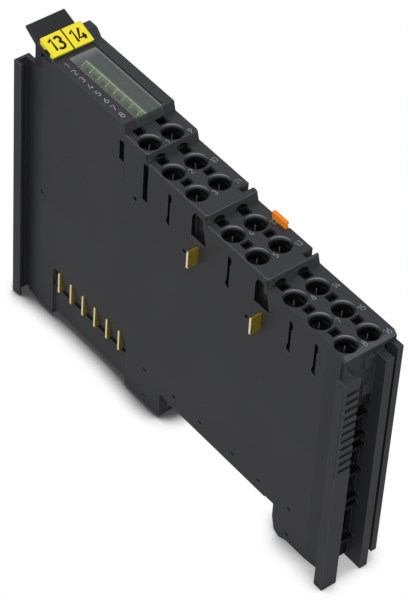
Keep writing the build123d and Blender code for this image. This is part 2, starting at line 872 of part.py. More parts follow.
def release_tab():
    y0 = cover_inner + 0.6 + 0.12
    y1 = y0 + tab_thickness
    half = tab_width / 2
    front = [step for step in steps if step.start < tab_x < step.end][0].top
    tab = block(tab_x - half, tab_x + half, y0, y1, pin_height - 1.4, front + tab_rise)
    low = pin_height + 8.0
    tab -= block(tab_x - half + 0.7, tab_x + half - 0.7, y0 - 1, y1 + 1, low,
                 low + spring_length + 1.6 + tab_travel + 0.3)
    # Finger groove across the head
    tab -= block(tab_x - half - 1, tab_x + half + 1, y1 - 0.25, y1 + 1, front + 0.4, front + 0.85)
    pin = Location((tab_x, (y0 + 1.5) / 2, pin_height), (90, 0, 0)) * Cylinder(pin_radius, y0 - 1.5)
    return tab + pin


def return_spring():
    # A moulded meander leaf inside the tab's window
    y0 = cover_inner + 0.6 + 0.2
    y1 = y0 + spring_wire
    low = pin_height + 8.0 + 0.02
    rise = (spring_length - 0.04 - spring_wire) / (2 * spring_coils)
    half = spring_width / 2
    spring = None
    for i in range(2 * spring_coils + 1):
        z = low + i * rise
        bar = block(tab_x - half, tab_x + half, y0, y1, z, z + spring_wire)
        spring = bar if spring is None else spring + bar
        if i < 2 * spring_coils:
            x0 = tab_x - half if i % 2 else tab_x + half - spring_wire
            spring += block(x0, x0 + spring_wire, y0, y1, z, z + rise + spring_wire / 2)
    return spring


def rail_latch():
    # A slider above the rail seat: cam plate, bar, leg and the lip behind the rail
    bar_z = floor + slide_gap
    leg_x = rail_edge + wall + 0.2
    cam_y = (1.6, 2.8)
    room = pin_radius + pin_gap
    reach = room + slot_margin
    left = tab_x - latch_travel - reach
    slide = block(left, leg_x + 2.0, 0, slider_width, bar_z, bar_z + slider_height)
    slide += block(left, tab_x + reach, *cam_y, bar_z, pin_height + tab_travel + reach)
    slide += block(leg_x, leg_x + 2.0, -latch_width / 2, latch_width / 2,
                   -rail_sheet - rail_clearance - hook_thickness, bar_z + slider_height)
    lip_z = -rail_sheet - rail_clearance
    tip = rail_half - hook_reach + 0.3
    slide += side_prism([(tip, lip_z), (leg_x + 0.1, lip_z), (leg_x + 0.1, lip_z - hook_thickness),
                         (tip + 1.6, lip_z - hook_thickness), (tip, lip_z - 0.7)],
                        -latch_width / 2, latch_width / 2)
    plane = Plane(origin=(0, cam_y[1] + 0.1, 0), x_dir=(1, 0, 0), z_dir=(0, -1, 0))
    low = (tab_x, pin_height)
    high = (tab_x - latch_travel, pin_height + tab_travel)
    slot = trace(Line(low, high), 2 * room)
    slot += Pos(*low) * Circle(room)
    slot += Pos(*high) * Circle(room)
    slide -= extrude(plane * slot, cam_y[1] - cam_y[0] + 0.2 + slider_width)
    return slide


# Writing the pieces

def write(name, shape):
    shape.label = name
    export_step(shape, f"parts/{name}.step")


write("housing_shell", housing_shell())
for number in range(len(steps)):
    write(f"terminal_face_{number + 1}", terminal_face(number))
write("side_cover", side_cover())
write("led_window", led_window())
write("light_guide", light_guide())
write("lamp_board", lamp_board())
for number in range(channels):
    write(f"status_lamp_{number + 1}", lamp(number))
write("circuit_board", circuit_board())
write("logic_chip", logic_chip())
write("optocouplers", couplers())
write("input_resistors", resistors())
write("capacitor", capacitor())
write("data_insulator", data_insulator())
for number in range(data_count):
    write(f"data_contact_{number + 1}", data_contact(number))
write("data_pads", data_pads())
for number, step in enumerate([s for s in steps if s.blade is not None]):
    write(f"power_contact_{number + 1}", power_contact(step))
number = 0
for row in (near_row, far_row):
    for step in steps:
        for x in step.entries:
            number += 1
            write(f"clamp_spring_{number:02d}", clamp_spring(x, row, step.top))
write("contact_bars_near", contact_bars(near_row, bar_spacing))
write("contact_bars_far", contact_bars(far_row, 0.2))
write("marker_carrier", marker_carrier())
write("marker_near", marker(marker_near, marker_split - marker_gap / 2, True))
write("marker_far", marker(marker_split + marker_gap / 2, marker_far, False))
write("release_tab", release_tab())
write("return_spring", return_spring())
write("rail_latch", rail_latch())
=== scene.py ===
import bmesh
import bpy
import json
import math
from mathutils import Matrix, Vector


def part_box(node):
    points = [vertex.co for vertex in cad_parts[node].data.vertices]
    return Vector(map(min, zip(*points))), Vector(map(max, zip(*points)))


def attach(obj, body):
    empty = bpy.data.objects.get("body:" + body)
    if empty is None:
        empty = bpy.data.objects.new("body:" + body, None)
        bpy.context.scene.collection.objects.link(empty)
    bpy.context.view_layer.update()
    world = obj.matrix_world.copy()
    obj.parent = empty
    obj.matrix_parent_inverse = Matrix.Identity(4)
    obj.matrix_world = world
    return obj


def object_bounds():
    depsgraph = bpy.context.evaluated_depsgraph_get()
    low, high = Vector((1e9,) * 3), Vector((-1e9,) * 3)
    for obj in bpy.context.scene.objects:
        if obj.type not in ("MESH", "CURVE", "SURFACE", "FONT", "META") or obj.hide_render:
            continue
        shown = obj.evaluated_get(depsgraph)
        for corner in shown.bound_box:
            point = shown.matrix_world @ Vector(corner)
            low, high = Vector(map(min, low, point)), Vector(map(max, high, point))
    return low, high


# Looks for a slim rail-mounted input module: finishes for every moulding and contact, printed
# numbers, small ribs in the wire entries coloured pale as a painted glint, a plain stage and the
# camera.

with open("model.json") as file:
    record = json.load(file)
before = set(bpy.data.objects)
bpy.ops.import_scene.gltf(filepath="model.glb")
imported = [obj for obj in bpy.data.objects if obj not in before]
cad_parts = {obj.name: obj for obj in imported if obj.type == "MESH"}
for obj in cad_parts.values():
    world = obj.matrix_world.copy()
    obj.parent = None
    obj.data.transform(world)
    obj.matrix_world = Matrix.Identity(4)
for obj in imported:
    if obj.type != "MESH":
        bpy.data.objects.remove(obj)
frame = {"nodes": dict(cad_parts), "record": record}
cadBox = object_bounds()
nodes = frame["nodes"]
mm = 0.001
print("frame loaded,", len(nodes), "nodes")


# Colours are written as they look on a screen, 0 to 255
def colour(red, green, blue):
    parts = []
    for part in (red, green, blue):
        share = part / 255
        parts.append(share / 12.92 if share <= 0.04045 else ((share + 0.055) / 1.055) ** 2.4)
    return (*parts, 1.0)


# A socket that can stand in a sum
class Value:
    def __init__(self, graph, socket):
        self.graph = graph
        self.socket = socket

    def join(self, operation, first, second=0.0):
        return self.graph.add("ShaderNodeMath", {"operation": operation}, {0: first, 1: second})

    def __add__(self, other):
        return self.join("ADD", self, other)

    def __radd__(self, other):
        return self.join("ADD", other, self)

    def __sub__(self, other):
        return self.join("SUBTRACT", self, other)

    def __rsub__(self, other):
        return self.join("SUBTRACT", other, self)

    def __mul__(self, other):
        return self.join("MULTIPLY", self, other)

    def __rmul__(self, other):
        return self.join("MULTIPLY", other, self)

    def __lt__(self, other):
        return self.join("LESS_THAN", self, other)

    def __gt__(self, other):
        return self.join("GREATER_THAN", self, other)

    def __abs__(self):
        return self.join("ABSOLUTE", self)

    def most(self, other):
        return self.join("MAXIMUM", self, other)

    def least(self, other):
        return self.join("MINIMUM", self, other)

    def within(self, low, high):
        return (self > low) * (self < high)


# The shader nodes of the world or of one finish
class Graph:
    def __init__(self, tree):
        self.tree = tree
        self.tree.nodes.clear()

    # One node of any kind: its settings first, then the values or links of its sockets
    def add(self, kind, settings=None, inputs=None, output=0):
        node = self.tree.nodes.new(kind)
        for key, setting in (settings or {}).items():
            setattr(node, key, setting)
        for key, given in (inputs or {}).items():
            if isinstance(given, Value):
                self.tree.links.new(given.socket, node.inputs[key])
            else:
                node.inputs[key].default_value = given
        return Value(self, node.outputs[output]) if len(node.outputs) else None

    def ray(self, name):
        return self.add("ShaderNodeLightPath", output=name)

    def blended(self, share, first, second):
        return self.add("ShaderNodeMixShader", None, {0: share, 1: first, 2: second})


class Finish(Graph):
    def __init__(self, name):
        self.material = bpy.data.materials.new(name)
        self.material.use_nodes = True
        super().__init__(self.material.node_tree)
        self.place = self.add("ShaderNodeTexCoord", output="Object")
        self.trueNormal = self.add("ShaderNodeNewGeometry", output="Normal")

    def axis(self, vector, name):
        return self.add("ShaderNodeSeparateXYZ", None, {0: vector}, name)

    def axes(self, names):
        return [self.axis(self.place, name) for name in names]

    def noise(self, perMetre, detail=2.0):
        return self.add("ShaderNodeTexNoise", None,
                        {"Vector": self.place, "Scale": perMetre, "Detail": detail}, "Fac")

    def mixed(self, share, first, second):
        return self.add("ShaderNodeMix", {"data_type": "RGBA"}, {0: share, 6: first, 7: second}, 2)

    def mixedVector(self, share, first, second):
        return self.add("ShaderNodeMix", {"data_type": "VECTOR"},
                        {0: share, 4: first, 5: second}, 1)

    def dot(self, first, second):
        return self.add("ShaderNodeVectorMath", {"operation": "DOT_PRODUCT"},
                        {0: first, 1: second}, "Value")

    def bump(self, height, strength, distance, normal):
        return self.add("ShaderNodeBump", None, {"Height": height, "Strength": strength,
                                                 "Distance": distance, "Normal": normal})

    def rounded(self, radius):
        return self.add("ShaderNodeBevel", {"samples": 8}, {"Radius": radius})

    # 0 on flat ground, up to a limit where an edge is rounded
    def turned(self, normal, gain, limit):
        return ((1 - self.dot(normal, self.trueNormal)) * gain).least(limit)

    def close(self, **sockets):
        named = {key.replace("_", " "): given for key, given in sockets.items()}
        return self.finishWith(self.add("ShaderNodeBsdfPrincipled", None, named))

    def finishWith(self, shader):
        self.add("ShaderNodeOutputMaterial", None, {"Surface": shader})
        return self.material


def wear(node, material):
    mesh = nodes[node].data
    mesh.materials.clear()
    mesh.materials.append(material)
    for face in mesh.polygons:
        face.material_index = 0


# Camera, set as the photograph has it

view = {
    "place": (0.28922, -0.26253, 0.41780),
    "right": (0.61668356, 0.78572915, 0.04828143),
    "down": (0.57070029, -0.40398735, -0.71490936),
    "forward": (-0.54222004, 0.46842708, -0.69754821),
    "focusPixels": 2932.08,
    "centre": (199.40, 294.10),
    "picture": (408, 600),
    "sensorWidth": 36.0,
    "nearest": 0.01,
    "furthest": 20.0,
}


def makeCamera():
    lens = bpy.data.cameras.new("camera")
    camera = bpy.data.objects.new("camera", lens)
    bpy.context.scene.collection.objects.link(camera)
    wide, high = view["picture"]
    lens.sensor_width = view["sensorWidth"]
    lens.lens = view["focusPixels"] * view["sensorWidth"] / high
    lens.shift_x = (wide / 2 - view["centre"][0]) / high
    lens.shift_y = (view["centre"][1] - high / 2) / high
    lens.clip_start = view["nearest"]
    lens.clip_end = view["furthest"]
    right, down, forward = (Vector(view[key]) for key in ("right", "down", "forward"))
    turn = Matrix((right, -down, -forward)).transposed().to_4x4()
    camera.matrix_world = Matrix.Translation(Vector(view["place"])) @ turn
    bpy.context.scene.camera = camera


makeCamera()
print("camera placed")


# Stage

stage = {
    "floorSize": 4.0,
    "floorTint": 0.35,
    "mirrorShare": 0.56,  # brightness of the floor in a glossy surface
    "shadow": 0.06,
    "endShadow": 0.5,  # the shadow is paler at the terminal end
    "shadowFade": 35 * mm,
    "shadowReach": 7 * mm,
    "shadowSamples": 24,
    "shadowDark": 0.42,
    "shadowLight": 0.88,
    "ambient": 0.5,
    "ambientTint": (0.95, 0.98, 1.0, 1),
}
lights = {
    "key": {"place": (0.55, -0.75, 1.0), "power": 9.0, "size": 0.35},
    "fill": {"place": (-0.9, -0.5, 0.8), "power": 2.0, "size": 0.8},
    "side": {"place": (1.2, -0.1, 0.35), "power": 1.6, "size": 0.5},
}


# White where it is seen or mirrored, dimmer where it lights the module
def makeWorld():
    world = bpy.data.worlds.new("studio")
    bpy.context.scene.world = world
    world.use_nodes = True
    sky = Graph(world.node_tree)
    seen = sky.ray("Is Camera Ray").most(sky.ray("Is Transmission Ray"))
    soft = sky.add("ShaderNodeBackground", None, {"Color": stage["ambientTint"],
                                                  "Strength": stage["ambient"]})
    white = sky.add("ShaderNodeBackground", None, {"Color": (1, 1, 1, 1)})
    both = sky.blended(seen.most(sky.ray("Is Glossy Ray")), soft, white)
    sky.add("ShaderNodeOutputWorld", None, {"Surface": both})


# The floor glows evenly white; a shadow is painted into its glow from ambient occlusion, paler
# towards the terminal end
def makeFloor():
    half = stage["floorSize"] / 2
    low = cadBox[0][2]
    mesh = bpy.data.meshes.new("floor")
    corners = [(-half, -half, low), (half, -half, low), (half, half, low), (-half, half, low)]
    mesh.from_pydata(corners, [], [(0, 1, 2, 3)])
    floor = bpy.data.objects.new("floor", mesh)
    bpy.context.scene.collection.objects.link(floor)
    paper = Finish("floor_paper")
    tint = stage["floorTint"]
    dull = paper.add("ShaderNodeBsdfDiffuse", None, {"Color": (tint, tint, tint, 1)})
    openness = paper.add("ShaderNodeAmbientOcclusion", {"samples": stage["shadowSamples"]},
                         {"Distance": stage["shadowReach"]}, "AO")
    towardsEnd = (paper.axis(paper.place, "X") * (1 / stage["shadowFade"])).most(0.0).least(1.0)
    deepest = towardsEnd * (stage["endShadow"] - stage["shadow"]) + stage["shadow"]
    light = paper.add("ShaderNodeMapRange", {"interpolation_type": "SMOOTHSTEP"}, {
        "Value": openness, "From Min": stage["shadowDark"], "From Max": stage["shadowLight"],
        "To Min": deepest, "To Max": 1.0})
    mirrored = paper.ray("Is Glossy Ray")
    glow = paper.add("ShaderNodeEmission", None, {
        "Strength": light * (1 - mirrored * (1 - stage["mirrorShare"]))})
    seen = paper.ray("Is Camera Ray").most(mirrored)
    mesh.materials.append(paper.finishWith(paper.blended(seen, dull, glow)))


def makeLight(name, light):
    data = bpy.data.lights.new(name, "AREA")
    data.energy = light["power"]
    data.size = light["size"]
    lamp = bpy.data.objects.new(name, data)
    lamp.location = light["place"]
    lamp.rotation_euler = (-Vector(light["place"])).to_track_quat("-Z", "Y").to_euler()
    bpy.context.scene.collection.objects.link(lamp)


makeWorld()
makeFloor()
for name, light in lights.items():
    makeLight(name, light)
bpy.context.scene.view_settings.view_transform = "Standard"
print("stage made")


# Moulded plastic

moulding = {
    "body": colour(46, 47, 50),
    "patch": colour(42, 43, 46),
    "edge": colour(84, 86, 90),
    # inside is painted shade, near black, for holes, chambers and recesses
    "inside": colour(10, 10, 11),
    "patchesPerMetre": 70.0,
    "grainPerMetre": 5200.0,
    "grainStrength": 0.35,
    "grainDepth": 0.012 * mm,
    "roughness": 0.5,
    "roughnessSpread": 0.1,
    "specular": 0.25,
    "edgeRadius": 0.16 * mm,
    "edgeGain": 5.0,
    "seamReach": 0.35 * mm,
}


# Spark-eroded plastic: fine grain, slight patches and softly rounded edges, with a painted
# highlight (on the front plates a painted shade) along each rounded edge
def spark(name, tones, flat=None, repaint=None):
    look = {**moulding, **tones}
    shade = Finish(name)
    patches = shade.noise(look["patchesPerMetre"], 3.0)
    grain = shade.noise(look["grainPerMetre"], 2.0)
    rounded = shade.rounded(look["edgeRadius"])
    normal = rounded
    if flat is not None:
        normal = shade.mixedVector(flat(shade), rounded, shade.trueNormal)
    body = shade.mixed(patches, look["body"], look["patch"])
    # Painted highlight along rounded edges, or painted shade where the edge tone is darker than
    # the body
    tint = shade.mixed(shade.turned(normal, look["edgeGain"], 1.0), body, look["edge"])
    if repaint is not None:
        tint = repaint(shade, tint)
    smoothest = look["roughness"] - look["roughnessSpread"] / 2
    return shade.close(Base_Color=tint, Roughness=patches * look["roughnessSpread"] + smoothest,
                       Specular_IOR_Level=look["specular"],
                       Normal=shade.bump(grain, look["grainStrength"], look["grainDepth"], normal))


def onSide(shade):
    return abs(shade.axis(shade.trueNormal, "Y")) > 0.9


# Where each plate of the front starts, ends and has its top
def faceBoxes():
    boxes = []
    for i in range(1, 5):
        low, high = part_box(f"terminal_face_{i}")
        boxes.append((low[0], high[0], high[2]))
    return boxes


plates = faceBoxes()

# Housing shell: painted shade, darker than the rest, in the chambers behind the plates, a channel
# at the terminal end, a ledge and pockets at the contacts and grip grooves

shell = {
    # web and groove are painted shade colours
    "web": colour(8, 8, 9),
    "groove": colour(22, 23, 25),
    "plateThickness": 1.6 * mm,
    "plateOverlap": 1.2 * mm,
    "seamRise": 2.4 * mm,
    "chamberHalf": 5.25 * mm,
    "wideHalf": 5.85 * mm,
    "wideEnd": 27.7 * mm,
    "chamberFloor": 38 * mm,
    "chamberLead": 1.8 * mm,
    "chamberSkin": 0.05 * mm,
    "channelAcross": (-4.25 * mm, 1.55 * mm),
    "channelUp": (-6 * mm, 39.5 * mm),
    "endWall": 31.3 * mm,
    "wallSkin": 0.15 * mm,
    "ledgeAcross": (-5.95 * mm, -4.7 * mm),
    "ledgeSkin": 0.12 * mm,
    "pocketHalf": 2.4 * mm,
    "pocketAcross": (-5.9 * mm, -4.75 * mm),
    "pocketHeight": 9 * mm,
    "gripSide": -4.2 * mm,
    "gripUp": (24 * mm, 46.5 * mm),
    "gripDepth": (0.12 * mm, 0.45 * mm),
    "hookFace": 35.3 * mm,
}


# Where plates of the front meet the body in one plane, no edge is rounded
def shellSeams(shade):
    reach = moulding["seamReach"]
    rise = shell["seamRise"]
    x, z = shade.axes("XZ")
    found = None
    for start, end, top in plates:
        seat = top - shell["plateThickness"]
        along = x.within(start - 2 * reach, end + reach) * (abs(z - seat) < reach)
        across = (abs(x - start) < reach) * z.within(seat, top + rise)
        behind = abs(x - (end - shell["plateOverlap"])) < reach
        here = along.most(across).most(behind * z.within(seat - rise, seat + reach))
        found = here if found is None else found.most(here)
    return found * onSide(shade)


# Painted shade: near black in the chambers, the channel, at its end wall, along the ledge and in
# the blade pockets; a lighter shade in the grip grooves
def shellInside(shade, tint):
    x, y, z = shade.axes("XYZ")
    wide = (abs(y) < shell["wideHalf"]) * (x < shell["wideEnd"])
    deep = (abs(y) < shell["chamberHalf"]).most(wide) * (z > shell["chamberFloor"])
    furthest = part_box("terminal_face_4")[1][0] - shell["plateOverlap"]
    found = None
    for start, end, top in plates:
        ceiling = top - shell["plateThickness"] + shell["chamberSkin"]
        here = x.within(start - shell["chamberLead"], min(end, furthest)) * (z < ceiling)
        found = here if found is None else found.most(here)
    channel = y.within(*shell["channelAcross"]) * z.within(*shell["channelUp"])
    beyond = x - shell["endWall"]
    wall = channel * (abs(beyond) < shell["wallSkin"])
    tint = shade.mixed(channel * (beyond > shell["wallSkin"]), tint, shell["web"])
    tint = shade.mixed((found * deep).most(wall), tint, moulding["inside"])
    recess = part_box("data_insulator")
    ledge = x.within(recess[0][0], recess[1][0]) * y.within(*shell["ledgeAcross"])
    level = abs(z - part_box("data_contact_1")[0][2]) < shell["ledgeSkin"]
    tint = shade.mixed(ledge * level, tint, moulding["inside"])
    for blade in ("power_contact_1", "power_contact_2"):
        low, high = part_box(blade)
        pocket = abs(x - (low[0] + high[0]) / 2) < shell["pocketHalf"]
        pocket = pocket * y.within(*shell["pocketAcross"])
        above = (z - high[2]).within(0.0, shell["pocketHeight"])
        tint = shade.mixed(pocket * above, tint, shell["web"])
    grip = (y < shell["gripSide"]) * z.within(*shell["gripUp"])
    depth = shell["hookFace"] - x
    return shade.mixed(grip * depth.within(*shell["gripDepth"]), tint, shell["groove"])


wear("housing_shell", spark("shell_charcoal", moulding, shellSeams, shellInside))
wear("side_cover", spark("cover_charcoal", moulding))

# Plates of the front

plate = {
    # The plates' rounded edges get painted shade, darker than the body
    "edge": colour(26, 27, 29),
    "edgeRadius": 0.07 * mm,
    "rimLow": colour(30, 31, 33),
    "rimTop": colour(140, 142, 146),
    "rimDepth": 0.7 * mm,
    "rimSlant": (0.3, 0.5),
    "rimLight": (0.7, -0.6, 0.3),
    "rimFrom": 0.35,
    "rimGain": 2.2,
    "chamfer": colour(74, 76, 80),
    "chamferSlant": (0.6, 0.8),
    "holeHalf": 5.9 * mm,
    "holeTop": 0.68 * mm,
    "endSkin": 0.45 * mm,
    "rows": (-3.55 * mm, 1.75 * mm),
    "slotAside": 0.3 * mm,
    "slotHalf": 1.1 * mm,
    "footShade": 0.6 * mm,
    "scallopHalf": 1.5 * mm,
    "scallopEnd": 0.03 * mm,
    "scallopFoot": 0.05 * mm,
}


def plateSeams(end, top):
    def flat(shade):
        reach = moulding["seamReach"]
        x, z = shade.axes("XZ")
        return (z < top - reach) * (x < end - reach) * onSide(shade)
    return flat


# A plate's holes, its slots' feet and its scallops are painted dark as shade; the rims of the
# holes carry painted shade below and a painted highlight at their top on the side facing rimLight,
# and the chamfers a painted highlight
def plateInside(start, end, top, below):
    def repaint(shade, tint):
        x, y, z = shade.axes("XYZ")
        slant = shade.axis(shade.trueNormal, "Z")
        height = ((z - (top - plate["rimDepth"])) * (1 / plate["rimDepth"])).most(0.0)
        facing = (shade.dot(shade.trueNormal, plate["rimLight"]) - plate["rimFrom"]).most(0.0)
        shine = (height * height * height * (facing * plate["rimGain"])).least(1.0)
        rim = shade.mixed(shine, plate["rimLow"], plate["rimTop"])
        tint = shade.mixed(slant.within(*plate["rimSlant"]), tint, rim)
        tint = shade.mixed(slant.within(*plate["chamferSlant"]), tint, plate["chamfer"])
        deep = (abs(y) < plate["holeHalf"]) * (x < end - plate["endSkin"])
        dark = deep * (z < top - plate["holeTop"])
        for row in plate["rows"]:
            aside = abs(y - (row + plate["slotAside"]))
            dark = dark.most((aside < plate["slotHalf"]) * (x < start + plate["footShade"]))
            if below is not None:
                scallop = (aside < plate["scallopHalf"]) * (x < end - plate["scallopEnd"])
                dark = dark.most(scallop * (z < below + plate["scallopFoot"]))
        return shade.mixed(dark, tint, moulding["inside"])
    return repaint


for i, (start, end, top) in enumerate(plates):
    below = plates[i + 1][2] if i + 1 < len(plates) else None
    wear(f"terminal_face_{i + 1}", spark(f"front_charcoal_{i + 1}", plate, plateSeams(end, top),
                                         plateInside(start, end, top, below)))

# Marker carrier and the block of the data contacts

carrier = {"body": colour(32, 33, 36), "patch": colour(28, 29, 32), "edge": colour(70, 72, 77)}
# The insulator is coloured near black as painted shade in the pocket of the data contacts
insulator = {"body": colour(12, 12, 13), "patch": colour(10, 10, 11), "edge": colour(16, 16, 18)}

wear("marker_carrier", spark("carrier_charcoal", carrier))
wear("data_insulator", spark("insulator_charcoal", insulator))
print("housing finished")


# Status window

window = {
    "tint": colour(214, 222, 216),
    "haze": colour(112, 119, 117),
    "frame": colour(142, 150, 148),
    "front": colour(31, 36, 37),
    "hazeShare": 0.42,
    "roughness": 0.15,
    "ripplesPerMetre": 400.0,
    "rippleSpread": 0.04,
    "edgeRadius": 0.2 * mm,
    "edgeGain": 6.0,
    "edgeMost": 0.5,
    "endFade": 2.4 * mm,
    "endHaze": 0.4,
    "farStrip": 0.3 * mm,
    "farHaze": 0.35,
    "frontStrip": 0.7 * mm,
    "frontTint": 0.8,
    "frontHaze": 0.58,
}


# The window turns hazier and paler towards its end and along its far edge, a painted highlight on
# its bevel; frame is the colour of that highlight
def makeWindowFinish():
    shade = Finish("smoked_window")
    x, y = shade.axes("XY")
    low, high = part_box("led_window")
    ripple = shade.noise(window["ripplesPerMetre"], 1.0)
    normal = shade.rounded(window["edgeRadius"])
    clear = shade.add("ShaderNodeBsdfTransparent", None, {"Color": window["tint"]})
    atEnd = (1 - (x - low[0]) * (1 / window["endFade"])).most(0.0) * window["endHaze"]
    atFar = (y > high[1] - window["farStrip"]) * window["farHaze"]
    atFront = (x > high[0] - window["frontStrip"]) * window["frontTint"]
    tint = shade.mixed(atEnd.most(atFar), window["haze"], window["frame"])
    haze = shade.add("ShaderNodeBsdfPrincipled", None, {
        "Base Color": shade.mixed(atFront, tint, window["front"]),
        "Roughness": window["roughness"], "Normal": normal})
    edges = shade.turned(normal, window["edgeGain"], window["edgeMost"]).most(atEnd).most(atFar)
    edges = edges.most(atFront * window["frontHaze"])
    thinnest = window["hazeShare"] - window["rippleSpread"] / 2
    share = ripple * window["rippleSpread"] + thinnest + edges
    return shade.finishWith(shade.blended(share, clear, haze))


wear("led_window", makeWindowFinish())

# Light guide

guide = {
    "line": colour(168, 184, 98),
    "spine": colour(226, 224, 170),
    "roughness": 0.25,
    "glow": 1.4,
    "haze": 0.08,
    "lineShare": 0.9,
    "lineHalf": 0.165 * mm,
    "lineThinnest": 0.55,
    "lineSpread": 0.9,
    "lineSkin": 0.05 * mm,
    "toothLean": 0.6 * mm,
    "toothReach": 1.75 * mm,
    "toothEnd": 1.7 * mm,
    "toothCloud": 0.6,
    "spineHaze": 0.3,
    "cloudsPerMetre": 900.0,
}


# The comb is clear; only its spine and the teeth over the lamps are painted bright and glow, a
# painted light with no lamp behind it
def makeGuideFinish():
    shade = Finish("green_guide")
    x, y, z = shade.axes("XYZ")
    lamps = [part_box(f"status_lamp_{i}") for i in (1, 2)]
    first, second = ((low[0] + high[0]) / 2 for low, high in lamps)
    pitch = second - first
    along = y * (1 / guide["toothReach"])
    lean = x - first + guide["toothLean"] * (1 - along * along)
    cell = shade.add("ShaderNodeMath", {"operation": "FLOORED_MODULO"},
                     {0: lean + 0.5 * pitch, 1: pitch})
    cloud = shade.noise(guide["cloudsPerMetre"], 2.0)
    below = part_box("light_guide")[1][2] - z
    half = guide["lineHalf"] * (guide["lineThinnest"] + cloud * guide["lineSpread"])
    tooth = (abs(cell - 0.5 * pitch) < half) * y.within(-guide["toothEnd"], 0.0)
    spine = abs(y) < half
    lines = tooth.most(spine) * (below < guide["lineSkin"])
    beside = abs(y - guide["lineHalf"]) < 3 * guide["lineHalf"]
    opaque = lines * guide["lineShare"] + beside * cloud * guide["spineHaze"] + guide["haze"]
    tint = shade.mixed(spine.most(cloud * guide["toothCloud"]), guide["line"], guide["spine"])
    return shade.close(Base_Color=tint, Roughness=guide["roughness"], Emission_Color=tint,
                       Emission_Strength=guide["glow"], Alpha=opaque.least(1.0))


wear("light_guide", makeGuideFinish())

# Lamps

lens = {
    "pale": colour(205, 210, 196),
    "dark": colour(180, 188, 172),
    "cloudsPerMetre": 1500.0,
    "roughness": 0.3,
    "edgeRadius": 0.08 * mm,
}


def makeLensFinish():
    shade = Finish("lamp_lens")
    cloud = shade.noise(lens["cloudsPerMetre"], 1.0)
    return shade.close(Base_Color=shade.mixed(cloud, lens["pale"], lens["dark"]),
                       Roughness=lens["roughness"], Normal=shade.rounded(lens["edgeRadius"]))


lensFinish = makeLensFinish()
for i in range(1, 9):
    wear(f"status_lamp_{i}", lensFinish)
print("window finished")


# Metal strip; the cut tips that point out of the near side are painted paler as a highlight and
# made less metallic

metals = {
    "gold": {"base": colour(206, 180, 84), "dark": colour(176, 148, 58),
             "tip": colour(244, 234, 190), "roughness": 0.28},
    "brass": {"base": colour(206, 180, 70), "dark": colour(172, 146, 44),
              "tip": colour(250, 244, 214), "roughness": 0.3},
    "tin": {"base": colour(64, 64, 63), "dark": colour(50, 50, 49),
            "tip": colour(64, 64, 63), "roughness": 0.45},
    "spring": {"base": colour(52, 53, 55), "dark": colour(40, 41, 43),
               "tip": colour(52, 53, 55), "roughness": 0.5},
}
rolling = {
    "mottlesPerMetre": 800.0,
    "linesPerMetre": (6000.0, 6000.0, 300.0),
    "lineStrength": 0.15,
    "lineDepth": 0.01 * mm,
    "metallic": 0.75,
    "tipLessMetallic": 0.4,
    "roughnessSpread": 0.15,
    "smoother": 0.07,
    "edgeRadius": 0.07 * mm,
}


def strip(name):
    tones = metals[name]
    shade = Finish(name + "_strip")
    mottle = shade.noise(rolling["mottlesPerMetre"], 3.0)
    stretched = shade.add("ShaderNodeVectorMath", {"operation": "MULTIPLY"},
                          {0: shade.place, 1: rolling["linesPerMetre"]})
    lines = shade.add("ShaderNodeTexNoise", None, {"Vector": stretched, "Scale": 1.0}, "Fac")
    tip = shade.axis(shade.trueNormal, "Y") < -0.9
    tint = shade.mixed(mottle, tones["base"], tones["dark"])
    smoothest = tones["roughness"] - rolling["smoother"]
    return shade.close(Base_Color=shade.mixed(tip, tint, tones["tip"]),
                       Metallic=rolling["metallic"] - tip * rolling["tipLessMetallic"],
                       Roughness=lines * rolling["roughnessSpread"] + smoothest,
                       Normal=shade.bump(lines, rolling["lineStrength"], rolling["lineDepth"],
                                         shade.rounded(rolling["edgeRadius"])))


goldStrip, brassStrip, tinStrip, springStrip = [strip(name) for name in metals]
for i in range(1, 7):
    wear(f"data_contact_{i}", goldStrip)
wear("data_pads", goldStrip)
for i in (1, 2):
    wear(f"power_contact_{i}", brassStrip)
for i in range(1, 17):
    wear(f"clamp_spring_{i:02d}", springStrip)
for side in ("near", "far"):
    wear(f"contact_bars_{side}", tinStrip)
print("metal finished")


# Coloured mouldings

coloured = {
    "yellow": {"body": colour(250, 232, 54), "patch": colour(246, 227, 48),
               "edge": colour(250, 242, 130), "roughness": 0.4},
    "orange": {"body": colour(252, 142, 30), "patch": colour(248, 132, 22),
               "edge": colour(255, 160, 70), "roughness": 0.4},
    "gap": colour(92, 78, 14),
    "gapHalf": 0.17 * mm,
}


# The sides that the two markers turn to each other lie in shade
def markerGap(shade, tint):
    y = shade.axis(shade.place, "Y")
    split = (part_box("marker_near")[1][1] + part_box("marker_far")[0][1]) / 2
    return shade.mixed(abs(y - split) < coloured["gapHalf"], tint, coloured["gap"])


for side in ("near", "far"):
    wear(f"marker_{side}", spark(f"marker_yellow_{side}", coloured["yellow"], repaint=markerGap))
orange = spark("tab_orange", coloured["orange"])
for name in ("release_tab", "return_spring", "rail_latch"):
    wear(name, orange)
print("coloured mouldings finished")


# Board and the parts on it

board = {
    "mask": (colour(34, 96, 58), colour(26, 78, 46)),
    "darkMask": (colour(44, 50, 46), colour(36, 42, 38)),
    "weavePerMetre": 1800.0,
    "weaveStrength": 0.2,
    "weaveDepth": 0.02 * mm,
    "roughness": 0.35,
    "coat": 0.3,
    "edgeRadius": 0.05 * mm,
}
chip = {
    "epoxy": (colour(30, 30, 32), colour(24, 24, 26)),
    "grainPerMetre": 3000.0,
    "roughness": 0.5,
    "roughnessSpread": 0.1,
    "edgeRadius": 0.08 * mm,
}
can = {
    "base": colour(196, 198, 200),
    "linesPerMetre": 2500.0,
    "roughness": 0.25,
    "roughnessSpread": 0.15,
    "edgeRadius": 0.2 * mm,
}


